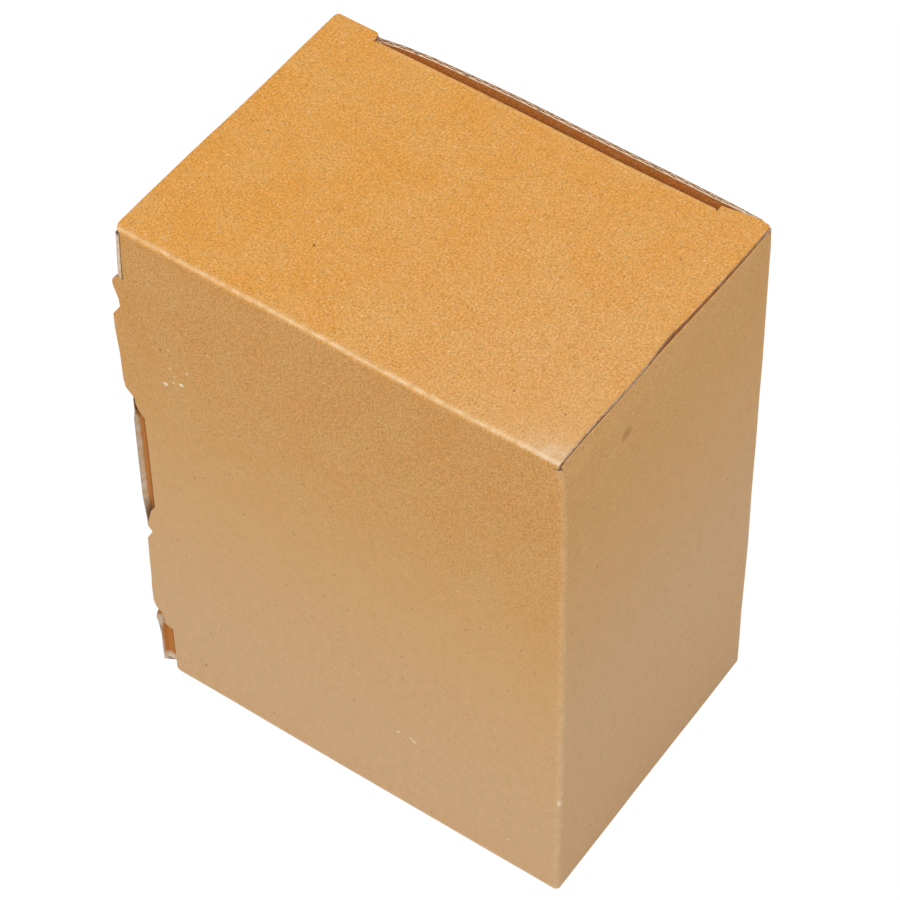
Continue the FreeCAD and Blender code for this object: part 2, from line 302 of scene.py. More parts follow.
def frontReach(z):
    # where the front wall's cut edge lies at that height
    edge = frontEdge()
    for (x, high), (following, low) in zip(edge, edge[1:]):
        if low <= z <= high and high > low:
            return x + (following - x) * (high - z) / (high - low)
    return edge[0][0]


# How the paper's looks change over the sheet: shares from 0 to 1, lengths in mm, turns as shares of a fold
looks = {
    "recessReach": 3.0,            # how far past the lap strip's fold the recess's looks go
    "sunkFrom": (0.04, 0.35),      # share of the drop over which the paper turns orange with painted bounce light
    # painted shadow of the front wall: the recess is darker the more of these places, to the right and above,
    # lie under the front wall
    "overhang": [(1.2, 0.5), (1.6, 0.4), (1.2, 1.0), (0.9, 1.2), (1.3, 1.8), (1.8, 1.7),
                 (0.9, 2.2), (1.6, 3.0)],
    "foldPale": 0.85,              # on the fold beside the recess, and where along its turn that ends
    "foldPaleEnd": (0.4, 0.7),
    "outline": 0.7,                # painted shade: the dark line there, where the fold turns away
    "outlineStart": (0.25, 0.5),
    "outlineEnd": (1.0, 3.0),
    "footPale": (3.0, 0.9),        # height and strength of the pale patch at the recess's foot
    "gapDark": 0.8,                # painted shade in the gap between the lid and a dust flap's fold
    "gapStart": (0.75, 1.2),
    "gapEnd": (1.6, 3.5),
    "uprightWear": (0.28, 0.4),    # strength and reach of the wear along each fold
    "footWear": (0.5, 0.6),
    "tuckWear": (0.2, 0.5),
    "crest": (0.6, 0.35, 0.6),     # the lid's front fold: its y, and the reach before and behind it
    # painted sheen and bounce light: the side faces are paler than the lid, more toward the foot and on the
    # right wall
    "wallSheen": (0.27, 0.73),      # at the top, and how much more at the foot
    "fadeRange": (10.0, box["height"] - 5),
    "rightSheen": 0.22,             # more on the right wall
    "lidSheen": (0.22, 0.36),       # on the lid's front lip, and toward the front corner on the right
    "lidSheenAcross": (20.0, 109.0),
    "lidSheenBack": 70.0,
    "corner": (108.0, 1.0),        # the painted highlight on that corner: x and y, radius and strength
    "cornerRadius": 7.0,
    "cornerPale": 0.45,
}


def bell(distance, reach):
    return math.exp(-(distance / reach) ** 2)


def recessState(u, place):
    # painted bounce light and shade in the recess beside the tabs, orange and dark; pale on the fold with a
    # painted dark outline
    x, y, z = place
    sunk = 0.0
    if u < runs["left"]["from"]:
        sunk = ease(lapPush(Vector((x, 0, z)), u) / carton["lapDrop"], *looks["sunkFrom"])
    # painted shadow: the share of nearby places that lie under the front wall
    hidden = sum(x + right > frontReach(z + up) for right, up in looks["overhang"]) / len(looks["overhang"])
    turned = (u - order[0]["to"]) / quarter
    pale = looks["foldPale"] * (1 - sunk) * (1 - ease(turned, *looks["foldPaleEnd"]))
    # painted shade: the shadow under the front wall, and the dark outline where the fold turns away
    shade = max(sunk * hidden, looks["outline"] * ease(turned, *looks["outlineStart"]))
    if u > runs["left"]["from"]:
        shade *= 1 - ease(y, *looks["outlineEnd"])
    footHeight, footPale = looks["footPale"]
    if z < footHeight:
        pale, shade = footPale, 0.0
    return {"inside": sunk, "pale": pale, "shade": shade}


def cartonState(u, v, place, low):
    # what the paper of the carton looks like there
    state = recessState(u, place) if u < runs["left"]["from"] + looks["recessReach"] else {}
    onBack = runs["back"]["from"] < u < runs["back"]["to"]
    onTop = place.z > flapTop - 0.4 and runs["left"]["from"] < u < runs["front"]["from"]
    if low == 0 and onTop and not onBack:
        # painted shade in the gap beside the lid, plain again on the flap under it
        turned = (v - flapTop + box["foldRadius"]) / quarter
        inGap = ease(turned, *looks["gapStart"]) * (1 - ease(turned, *looks["gapEnd"]))
        state["shade"] = looks["gapDark"] * inGap
    if low == 0:
        # the folds at the foot are worn pale, the uprights less, the dust flaps' not at all
        upright = min(outside(u, run["to"], following["from"]) for run, following in zip(order, order[1:]))
        (sideWear, sideReach), (footWear, footReach) = looks["uprightWear"], looks["footWear"]
        state["wear"] = sideWear * bell(upright, sideReach) + footWear * bell(v - quarter / 2, footReach)
    # painted sheen and bounce light: the walls are paler toward the foot, the right wall most
    side = runs["right"]
    right = ease(u, side["from"] - quarter, side["from"]) * (1 - ease(u, side["to"], runs["front"]["from"]))
    top, more = looks["wallSheen"]
    state["fade"] = top + more * (1 - ease(place.z, *looks["fadeRange"])) + looks["rightSheen"] * right
    return state


def lidState(u, v, place, low):
    # worn along its front fold and a little along the tuck fold; painted sheen and a painted highlight make
    # it paler toward the front corner on the right
    x, y = lidX(u), v - onLid(0)
    cornerX, cornerY = looks["corner"]
    corner = bell(math.hypot(x - cornerX, (y - cornerY) * 1.5), looks["cornerRadius"])
    crestAt, before, behind = looks["crest"]
    crest = bell(y - crestAt, before if y < crestAt else behind)
    tuckWear, tuckReach = looks["tuckWear"]
    tuck = tuckWear * bell(lidGap(u, v), tuckReach) if y > 60 else 0.0
    lip, most = looks["lidSheen"]
    toward = ease(x, *looks["lidSheenAcross"]) * (1 - 0.8 * ease(y, 0, looks["lidSheenBack"]))
    return {"fade": most * toward if v > lidTurn + quarter * 0.5 else lip, "wear": max(crest, tuck),
            "pale": looks["cornerPale"] * corner if low == 0 and y > 0 else 0.0}


def topFlap(q):
    # place along v of the point of a dust flap that is q inside the wall's outer face
    return flapTop - 2 * box["foldRadius"] + quarter + q


def baseFlap(q):
    # the same for a base flap
    return 2 * box["foldRadius"] - quarter - q


def frontEdge():
    # the front wall's left cut edge, from the top down, as x and z
    c, height = carton, box["height"]
    corners = [(c["edgeTop"], lidSeam)]
    for tab, top, start, end in ((c["upperTab"], height - c["upperTabDrop"], c["edgeTop"], c["edgeMiddle"]),
                                 (c["lowerTab"], c["lowerTabRise"], c["edgeMiddle"], c["edgeLow"])):
        last = tab[-1][1]
        corners += [(start + (end - start) * down / last - out, top - down) for out, down in tab]
    return corners + [(c["edgeLow"], box["foldRadius"] + 0.5)]


def dustOutline():
    # a dust flap with the slits at its ends, as y and place along v, from the front
    back, taper, long = box["depth"] - carton["dustBack"], carton["dustTaper"], carton["dustLength"]
    front, slit = carton["dustFront"], box["slit"]
    cut = flapTop - box["foldRadius"] - slit
    sides = [(dustFrom, box["board"]), (front, 4.0), (front, long * 0.75), (front + taper, long),
             (back - taper, long), (back, long * 0.5), (back, 6.0), (dustTo, box["board"])]
    return ([(dustFrom - slit, flapTop), (dustFrom - slit, cut), (dustFrom, cut)]
            + [(y, topFlap(q)) for y, q in sides]
            + [(dustTo, cut), (dustTo + slit, cut), (dustTo + slit, flapTop)])


def baseOutline():
    # the four base flaps with mitred ends, from the front wall back to the lap strip
    width, depth, low, end = box["width"], box["depth"], carton["edgeLow"], box["flapEnd"]
    half, radius = depth / 2, box["foldRadius"]
    flaps = [("front", "right", width, [low + 3.0, half, width - half, width - end]),
             ("right", "back", depth, [end, half, depth - end]),
             ("back", "left", width, [width - end, width - half, half, end]),
             ("left", "lap", depth, [depth - end, half, 2.35])]
    points = [(onWall("front", low + 1.6), baseFlap(0.5))]
    for name, following, length, tips in flaps:
        points += [(onWall(name, at), baseFlap(min(at, length - at) - carton["seamGap"])) for at in tips]
        foot = box["board"] + box["play"] if following == "lap" else radius
        points += [(runs[name]["from"], radius), (runs[following]["to"], foot)]
    return points


def cartonOutline():
    c, height = carton, box["height"]
    lapTop = height - 2 * box["board"] - 0.3
    lapEnd = order[0]["to"]
    points = [(0.0, box["board"] + box["play"]), (0.0, lapTop), (lapEnd - 2.2, lapTop),
              (lapEnd - 1.0, flapTop - 0.4), (order[1]["from"], flapTop)]
    points += [(onWall("left", y), v) for y, v in dustOutline()]
    rise = [(c["shoulderLeft"], flapTop), (c["shoulderLeft"] + c["sideGap"], flapTop + 0.2),
            (18.0, height - 0.6), (26.0, height), (102.0, height), (106.5, height - 0.3),
            (107.9, flapTop + 0.3)]
    points += [(onWall("back", x), z) for x, z in rise]
    points += [(onWall("right", y), v) for y, v in reversed(dustOutline())]
    points += [(runs["front"]["from"], flapTop)]
    points += [(onWall("front", x), z) for x, z in frontEdge()]
    return points + baseOutline()


# The lid: the front wall's top fold, the top panel and the tuck flap
lid = {
    "slot": 0.7,           # width of the slot between the tuck flap and a straight back wall
    # the cut edge in x and y: left side from the front, right shoulder and right side from the back
    "leftSide": [(0.7, 0.95), (0.35, 1.9), (0.45, 12.0), (1.1, 48.0), (1.45, 73.9), (1.65, 74.8),
                 (2.2, 75.3), (12.0, 75.35), (12.6, 74.9)],
    "rightSide": [(97.8, 74.4), (101.4, 75.05), (104.3, 75.5), (106.7, 75.7), (108.4, 75.45), (108.8, 75.0),
                  (108.8, 73.0), (108.75, 64.0), (108.5, 50.0), (108.3, 45.0), (107.95, 41.0), (107.95, 37.5),
                  (108.3, 33.0), (108.47, 26.0), (108.36, 20.0), (108.2, 14.0), (108.22, 3.0), (108.35, 1.0)],
    # how far the board is pressed shut at the right edge along y
    "edgePress": [(0.0, 0.95), (28.0, 0.95), (44.0, 0.1), (62.0, 0.05), (75.0, 0.4)],
    "tuckLength": 15.0,
    "tuckLean": math.radians(7),
    "tuckRound": 4.0,
    "waveSteps": 8,
}
lidTurn = box["height"] - box["foldRadius"]                # where the fold over the front begins
tuckStart = carton["shoulderLeft"] + carton["sideGap"]
tuckEnd = box["width"] - carton["shoulderRight"] - carton["sideGap"]
slotEdge = box["depth"] - box["board"] - lid["slot"]       # how far back the tuck flap's outer face lies
tuckAngle = math.pi / 2 + lid["tuckLean"]


def onLid(y):
    # place along v of a point of the top panel
    return lidTurn + quarter + y - box["foldRadius"]


tuckTurn = onLid(slotEdge - box["foldRadius"])             # where the tuck fold begins


def lidX(u):
    # x of a place on the lid
    return box["width"] - box["foldRadius"] - (u - runs["front"]["from"])


def lidGap(u, v):
    # distance on the flat sheet to the nearest fold of the lid
    front = outside(v, lidTurn, lidTurn + quarter)
    if not tuckStart < lidX(u) < tuckEnd:
        return front
    return min(front, outside(v, tuckTurn, tuckTurn + box["foldRadius"] * tuckAngle))


def foldLid(u, v, w):
    radius, x = box["foldRadius"], lidX(u)
    w = w * pressed(lidGap(u, v))
    if v < lidTurn:
        return uneven(leanBack(Vector((x, w, v))))
    if v < tuckTurn or not tuckStart - hair < x < tuckEnd + hair:
        rise, inset = rounded(v - lidTurn, w)
        return uneven(leanBack(Vector((x, inset, lidTurn + rise))))
    arc = v - tuckTurn
    angle = min(arc / radius, tuckAngle)
    past = max(0.0, arc - radius * tuckAngle)
    y = slotEdge - radius + (radius - w) * math.sin(angle) + past * math.cos(angle)
    z = box["height"] - radius + (radius - w) * math.cos(angle) - past * math.sin(angle)
    return uneven(Vector((x, y, z)))


def lidShut(u, v):
    # how far the board is pressed shut there
    x = lidX(u)
    if x > 60:
        return along(lid["edgePress"], v - onLid(0)) * math.exp(-((box["width"] - 1 - x) / 1.1) ** 2)
    return 0.5 * (1 - ease(x, 1.0, 4.0))


def lidOutline():
    c, width = carton, box["width"]
    start, end, gap = c["shoulderLeft"], width - c["shoulderRight"], c["sideGap"]
    edge = c["edgeTop"]
    points = [(edge, lidSeam), (edge - 0.1, lidTurn + 0.35), (edge - 0.6, lidTurn + 0.45)]
    points += [(x, onLid(y)) for x, y in lid["leftSide"]]
    points += [(start, tuckTurn), (start + gap, tuckTurn)]
    bend = box["foldRadius"] * tuckAngle
    corner, reach = lid["tuckRound"], lid["tuckLength"] + bend - box["foldRadius"]
    arcSteps = 6
    for x, steps in ((start + gap + corner, range(arcSteps + 1)),
                     (end - gap - corner, range(arcSteps, -1, -1))):
        side = -1 if x < width / 2 else 1
        for step in steps:
            angle = step / arcSteps * math.pi / 2
            at = x + side * corner * math.cos(angle)
            points.append((at, tuckTurn + reach - corner + corner * math.sin(angle)))
    points += [(end - gap, tuckTurn), (end, tuckTurn)]
    points += [(x, onLid(y)) for x, y in lid["rightSide"]]
    points += [(108.35, lidTurn), (108.3, lidSeam + 0.4), (107.3, lidSeam + 0.2), (106.9, lidSeam)]
    return [(onWall("front", x), v) for x, v in points]


# Board made from a flat outline: two liners and the fluted medium between them, each a closed sheet.
# The flat sheet is cut into strips at these places, so that it can bend; a row is from, to, step
cutting = {
    "foldStep": 0.21,
    "beside": (0.35, 0.8, 1.4, 2.2, 3.4, 5.0),
    "wallMargin": 6.0,
    "wallStep": 7.0,
    "wallLeast": 14.0,
    "edgeColumns": (1.5, 2.5, 3.5, 4.6),
    "lapColumns": (-6.4, -0.4, 0.4),       # from the lap strip's fold
    "wallRows": (8.0, 143.0, 9.0),
    "baseRows": (-36.0, -6.0, 6.0),
    "dustRows": (156.0, 176.0, 6.0),
    "recessRows": ((88.5, 100.0, 0.5), (10.0, 24.0, 0.6), (132.0, 136.0, 0.6)),
    "lidStep": 6.0,
    "lidColumns": (1.5, 2.5, 3.6, 104.8, 106.2, 107.1, 107.7),
    "lidRows": (8.0, 66.0),
    "tuckRows": (7.0, 10.0, 13.0),
}


def span(low, high, step):
    # evenly spaced places, about a step apart
    count = max(1, round((high - low) / step))
    return [low + (high - low) * i / count for i in range(count + 1)]


def nearFold(low, high):
    # score lines through a fold and beside it, closer together toward it
    beside = cutting["beside"]
    return span(low, high, cutting["foldStep"]) + [low - d for d in beside] + [high + d for d in beside]


def straight(axis, places):
    # cutting planes across the flat sheet, as point and normal
    normal = (1, 0, 0) if axis == 0 else (0, 1, 0)
    return [(Vector(normal) * p, normal) for p in places]


def flatSheet(outline, cuts):
    bm = bmesh.new()
    bm.faces.new([bm.verts.new((u, v, 0)) for u, v in outline])
    for point, normal in cuts:
        bmesh.ops.bisect_plane(bm, geom=bm.verts[:] + bm.edges[:] + bm.faces[:], dist=0.0005,
                               plane_co=point, plane_no=normal)
    return bm


blankScale = 0.01          # of the UV map, which is the flat sheet, in units of 100 mm


def boardLayer(name, outline, cuts, low, high, shutLow, fold, gap, shut, state, wave=0.0):
    # one layer from low to high under the outer face, folded up; it lies at shutLow where the board is shut
    bm = flatSheet(outline, cuts)
    raised = bmesh.ops.extrude_face_region(bm, geom=bm.faces[:])["geom"]
    for vert in raised:
        if isinstance(vert, bmesh.types.BMVert):
            vert.co.z = high - low
    bmesh.ops.recalc_face_normals(bm, faces=bm.faces)
    bmesh.ops.triangulate(bm, faces=[f for f in bm.faces if len(f.verts) > 4])
    blank = bm.loops.layers.uv.new("blank")
    layers = {key: bm.verts.layers.float.new(key) for key in ("wear", "fade", "inside", "shade", "pale")}
    cut = [f for f in bm.faces if abs(f.normal.z) < 0.5]
    for face in bm.faces:
        for loop in face.loops:
            u, v, w = loop.vert.co
            loop[blank].uv = ((u + w) * blankScale, (v + w) * blankScale)
    for face in cut:
        face.material_index = 1 if low == 0 else 2
    for vert in bm.verts:
        u, v, rise = vert.co
        w = rise + low + wave * math.sin(2 * math.pi * u / box["flute"])
        w += (rise + shutLow - w) * shut(u, v)
        place = fold(u, v, w)
        # the inner layers take the deeper inside orange, partly painted bounce light
        marks = {"wear": math.exp(-(gap(u, v) / box["wearReach"]) ** 2), "inside": float(low > 0),
                 "shade": 0.0, "pale": 0.0}
        marks.update(state(u, v, place, low))
        for key, layer in layers.items():
            vert[layer] = marks[key]
        vert.co = (place + origin) * mm
    mesh = bpy.data.meshes.new(name)
    bm.to_mesh(mesh)
    bm.free()
    mesh.shade_smooth()
    mesh.set_sharp_from_angle(angle=math.radians(40))
    piece = bpy.data.objects.new(name, mesh)
    bpy.context.scene.collection.objects.link(piece)
    return piece


def boardPieces(name, outline, cuts, faceCuts, waveSteps, reach, *bends):
    thick, liner, medium = box["board"], box["liner"], box["medium"]
    wave = (thick - 2 * liner - medium) / 2
    flutes = straight(0, span(*reach, box["flute"] / waveSteps))
    return [boardLayer(name + "OuterLiner", outline, cuts + faceCuts, 0, liner, 0, *bends),
            boardLayer(name + "Flutes", outline, flutes + cuts, (thick - medium) / 2, (thick + medium) / 2,
                       liner, *bends, wave),
            boardLayer(name + "InnerLiner", outline, cuts, thick - liner, thick, liner + medium, *bends)]


def foldCarton():
    radius, soft = box["foldRadius"], carton["tabEase"]
    lapEnd, lowFold, topFold = order[0]["to"], radius - quarter, flapTop - radius
    margin, least = cutting["wallMargin"], cutting["wallLeast"]
    across = []
    for run, following in zip(order, order[1:]):
        across += nearFold(run["to"], following["from"])
    for run in order:
        if run["to"] - run["from"] > least:
            across += span(run["from"] + margin, run["to"] - margin, cutting["wallStep"])
    first, last, step = cutting["lapColumns"]
    across += [onWall("front", x) for x in cutting["edgeColumns"]] + span(lapEnd + first, lapEnd + last, step)
    down = nearFold(lowFold, radius) + nearFold(topFold, topFold + quarter)
    for rows in ("wallRows", "baseRows", "dustRows"):
        down += span(*cutting[rows])
    steps = (-soft, -soft / 2, 0, soft / 2, soft)
    down += [z + step for zone in carton["tabZones"] for z in zone for step in steps]
    # the outer liner is cut finer where the recess beside the tabs is shaded
    recess = straight(1, [z for rows in cutting["recessRows"] for z in span(*rows)])
    pieces = boardPieces("carton", cartonOutline(), straight(0, across) + straight(1, down), recess,
                         carton["waveSteps"], (0, runs["front"]["to"]),
                         foldWall, wallGap, cartonShut, cartonState)
    print("carton board made", [len(p.data.polygons) for p in pieces])
    return pieces


def foldLidBoard():
    step = cutting["lidStep"]
    first, last = cutting["lidRows"]
    across = [onWall("front", x) for x in (*span(0, box["width"], step), *cutting["lidColumns"])]
    down = nearFold(lidTurn, lidTurn + quarter) + span(onLid(first), onLid(last), step)
    down += [tuckTurn + d for d in (*nearFold(0, box["foldRadius"] * tuckAngle), *cutting["tuckRows"])]
    pieces = boardPieces("lid", lidOutline(), straight(0, across) + straight(1, down), [],
                         lid["waveSteps"], (onWall("front", box["width"]), onWall("front", 0)),
                         foldLid, lidGap, lidShut, lidState)
    print("lid board made", [len(p.data.polygons) for p in pieces])
    return pieces


cartonBoard, lidBoard = foldCarton(), foldLidBoard()
print("sheets folded")

# Kraft paper: colours are linear, scales count the features on 100 mm
paper = {
    "warm": (0.76, 0.355, 0.070),
    "sandy": (0.76, 0.385, 0.094),
    # painted sheen and bounce light: the paler, greyer tone of the side faces
    "faded": (0.705, 0.455, 0.24),
    "worn": (0.93, 0.68, 0.40),
    # deeper orange of the inner faces, partly their own tone and partly painted bounce light, and of the
    # recess, painted bounce light
    "inside": (0.62, 0.235, 0.05),
    # painted shade: the near-black of gaps and the recess
    "gap": (0.055, 0.02, 0.008),
    # pale of the lap strip's fold and of the recess's foot, and the painted highlight near the lid's front
    # corner
    "pale": (0.86, 0.72, 0.55),
    "fibreDark": (0.30, 0.13, 0.035),
    "fibreLight": (0.98, 0.80, 0.52),
    "linerCut": ((0.20, 0.085, 0.03), (0.62, 0.42, 0.26)),     # the outer liner's cut edge, dark and light
    "coreCut": ((0.80, 0.56, 0.36), (0.98, 0.82, 0.64)),
    "cutGrey": (0.42, 0.36, 0.28),
    "mottleTint": ((0.96, 0.97, 0.93), (1.04, 1.02, 1.05)),
    "grainTint": ((0.75, 0.67, 0.50), (1.17, 1.18, 1.25)),
    "stains": (0.45, 0.2, 0.06),
    "scuffs": (1.0, 0.88, 0.68),
    "flecks": (0.12, 0.05, 0.02),
    "clouds": 9.0,
    "mottle": 45.0,
    "grain": 210.0,
    "streaks": 210.0,      # along a cut edge
    "dots": (30.0, 0.12, 0.07),        # cells, share of them with a dot, its radius as a share of the cell
    "specks": (46.0, 0.09, 0.09),
    "darkFibres": ((20, 70.0), (-50, 95.0)),       # turn and scale of each set
    "lightFibres": ((75, 80.0), (-15, 110.0)),
    "fibreStretch": 2.4,
    "fibrePieces": (0.56, 0.62),
    "fibreLine": (0.02, 0.006),
    "darkShare": 0.6,
    "lightShare": 0.4,
    "dotShare": 0.55,
    "speckShare": 0.4,
    "wearShare": 0.7,
    "cutShade": 0.6,
    "grainUnderSheen": (0.25, 0.65, 1.0, 0.22),      # from, to, and the grain's strength at each
    "ragged": (0.1, 0.9, 0.45, 1.15),
    "wobble": 120.0,           # how finely the marks' outlines are torn, and how far
    "wobbleReach": 0.006,
    "roughness": 0.86,
    "roughnessSpread": 0.06,
    "cutRoughness": 0.92,
    "specular": 0.25,
    "bump": 0.35,
    "cutBump": 0.6,
    "bumpHeight": 0.0002,
}


def nodeIn(tree, kind, **settings):
    node = tree.nodes.new(kind)
    for key, value in settings.items():
        setattr(node, key, value)
    return node


def joinUp(tree, source, target):
    if isinstance(source, (int, float)):
        target.default_value = source
    elif isinstance(source, tuple):
        target.default_value = (*source, 1) if len(target.default_value) == 4 else source
    else:
        tree.links.new(source, target)


def calc(tree, operation, first, second=0.0, clamp=False):
    node = nodeIn(tree, "ShaderNodeMath", operation=operation, use_clamp=clamp)
    joinUp(tree, first, node.inputs[0])
    joinUp(tree, second, node.inputs[1])
    return node.outputs[0]


def blendColours(tree, share, first, second, kind="MIX"):
    node = nodeIn(tree, "ShaderNodeMix", data_type="RGBA", blend_type=kind)
    joinUp(tree, share, node.inputs[0])
    joinUp(tree, first, node.inputs[6])
    joinUp(tree, second, node.inputs[7])
    return node.outputs[2]


def remap(tree, value, low, high, start=0.0, end=1.0):
    node = nodeIn(tree, "ShaderNodeMapRange")
    for place, number in zip(range(1, 5), (low, high, start, end)):
        node.inputs[place].default_value = number
    joinUp(tree, value, node.inputs[0])
    return node.outputs[0]


def noiseOn(tree, where, scale, detail=2.0, roughness=0.5):
    node = nodeIn(tree, "ShaderNodeTexNoise", noise_dimensions="2D")
    node.inputs["Scale"].default_value = scale
    node.inputs["Detail"].default_value = detail
    node.inputs["Roughness"].default_value = roughness
    joinUp(tree, where, node.inputs["Vector"])
    return node.outputs["Fac"]


def stretched(tree, where, turn, ratio):
    # the blank's coordinates turned and drawn out, for fibres that lie one way
    node = nodeIn(tree, "ShaderNodeMapping")
    node.inputs["Rotation"].default_value = (0, 0, math.radians(turn))
    node.inputs["Scale"].default_value = (1, ratio, 1)
    joinUp(tree, where, node.inputs["Vector"])
    return node.outputs[0]


def startGroup(name, inputs, outputs):
    group = bpy.data.node_groups.new(name, "ShaderNodeTree")
    for title, kind in inputs:
        group.interface.new_socket(title, in_out="INPUT", socket_type="NodeSocket" + kind)
    for title, kind in outputs:
        group.interface.new_socket(title, in_out="OUTPUT", socket_type="NodeSocket" + kind)
    return group, group.nodes.new("NodeGroupInput").outputs, group.nodes.new("NodeGroupOutput").inputs


def fibreMask(tree, where, turn, scale):
    # thin curly hairs: where one noise crosses its middle, cut into lengths by another
    drawn = stretched(tree, where, turn, paper["fibreStretch"])
    line = calc(tree, "ABSOLUTE", calc(tree, "SUBTRACT", noiseOn(tree, drawn, scale, 1.0), 0.5))
    pieces = remap(tree, noiseOn(tree, where, scale * 0.8, 1.0), *paper["fibrePieces"])
    return calc(tree, "MULTIPLY", remap(tree, line, *paper["fibreLine"]), pieces)


def makeFibres():
    # masks that every paper surface shares: clouding, mottle, grain, dark and light fibres, height
    masks = ("Clouds", "Mottle", "Grain", "Dark", "Light", "Height")
    tree, given, out = startGroup("paperFibres", [("Blank", "Vector")], [(key, "Float") for key in masks])
    where = given["Blank"]
    clouds = noiseOn(tree, where, paper["clouds"], 3.0)
    mottle = noiseOn(tree, where, paper["mottle"], 3.0, 0.6)
    grain = noiseOn(tree, where, paper["grain"], 2.0, 0.65)
    dark = calc(tree, "MAXIMUM", *[fibreMask(tree, where, *hairs) for hairs in paper["darkFibres"]])
    light = calc(tree, "MAXIMUM", *[fibreMask(tree, where, *hairs) for hairs in paper["lightFibres"]])
    joinUp(tree, remap(tree, clouds, 0.36, 0.64), out["Clouds"])
    joinUp(tree, remap(tree, mottle, 0.3, 0.7), out["Mottle"])
    joinUp(tree, remap(tree, grain, 0.28, 0.72), out["Grain"])
    joinUp(tree, dark, out["Dark"])
    joinUp(tree, light, out["Light"])
    height = calc(tree, "ADD", calc(tree, "MULTIPLY", grain, 0.6), calc(tree, "MULTIPLY", light, 0.25))
    joinUp(tree, calc(tree, "ADD", height, calc(tree, "MULTIPLY", mottle, 0.5)), out["Height"])
    return tree


def makeSpots():
    # small scattered dots
    tree, given, out = startGroup("paperSpots", [("Blank", "Vector"), ("Scale", "Float"), ("Share", "Float"),
                                                 ("Radius", "Float")], [("Spots", "Float")])
    cells = nodeIn(tree, "ShaderNodeTexVoronoi", voronoi_dimensions="2D")
    joinUp(tree, given["Blank"], cells.inputs["Vector"])
    joinUp(tree, given["Scale"], cells.inputs["Scale"])
    pick = nodeIn(tree, "ShaderNodeSeparateColor")
    joinUp(tree, cells.outputs["Color"], pick.inputs[0])
    chosen = calc(tree, "LESS_THAN", pick.outputs[0], given["Share"])
    size = calc(tree, "MULTIPLY", given["Radius"], calc(tree, "ADD", 0.4, pick.outputs[1]))
    inner = calc(tree, "SUBTRACT", 1.0, calc(tree, "DIVIDE", cells.outputs["Distance"], size))
    joinUp(tree, calc(tree, "MULTIPLY", calc(tree, "MULTIPLY", inner, 3.0, clamp=True), chosen), out["Spots"])
    return tree


fibres, spots = makeFibres(), makeSpots()


def spotsOn(tree, where, scale, share, radius):
    node = nodeIn(tree, "ShaderNodeGroup", node_tree=spots)
    for key, value in (("Blank", where), ("Scale", scale), ("Share", share), ("Radius", radius)):
        joinUp(tree, value, node.inputs[key])
    return node.outputs[0]


def attribute(tree, name):
    return nodeIn(tree, "ShaderNodeAttribute", attribute_name=name).outputs["Fac"]


# Single marks on the sheet: wall, place in mm, size along and across, turn, strength
markTable = {
    "scuffs": [("front", 10.4, 107.5, 1.3, 0.8, -30, 1.0), ("front", 14.8, 110.0, 1.3, 0.8, 5, 1.0),
               ("front", 12.7, 109.2, 0.5, 0.5, 0, 0.8), ("front", 12.2, 113.6, 0.6, 0.5, 0, 0.8),
               ("front", 16.8, 115.0, 0.6, 0.5, 0, 0.8), ("front", 13.2, 111.4, 0.5, 0.4, 0, 0.7),
               ("front", 12.2, 119.3, 0.6, 0.4, 0, 0.7), ("front", 23.0, 125.0, 0.6, 0.4, 0, 0.6),
               ("front", 28.5, 129.5, 0.6, 0.4, 0, 0.6), ("front", 96.0, 9.8, 0.7, 0.5, 0, 0.9),
               ("front", 67.2, 27.0, 0.6, 0.5, 0, 0.8), ("front", 71.1, 26.8, 2.2, 0.5, 40, 0.8),
               ("front", 108.6, 35.0, 0.9, 2.2, 0, 0.6), ("front", 8.8, 137.5, 0.8, 0.4, 0, 0.5)],
    "flecks": [("front", 10.1, 118.3, 0.5, 0.5, 0, 0.9), ("front", 13.1, 9.2, 0.8, 0.5, 0, 0.9),
               ("right", 70.6, 95.4, 0.6, 0.4, 0, 0.8), ("right", 12.4, 105.5, 0.5, 0.5, 0, 0.8),
               ("lid", 9.9, 39.7, 0.5, 0.4, 0, 0.9), ("lid", 36.5, 19.6, 0.5, 0.4, 0, 0.9),
               ("lid", 90.8, 11.0, 0.5, 0.4, 0, 0.9), ("lid", 102.3, 11.6, 0.6, 0.3, 0, 0.9)],
    "stains": [("right", 22.3, 137.6, 3.4, 3.0, 0, 0.55)],
}


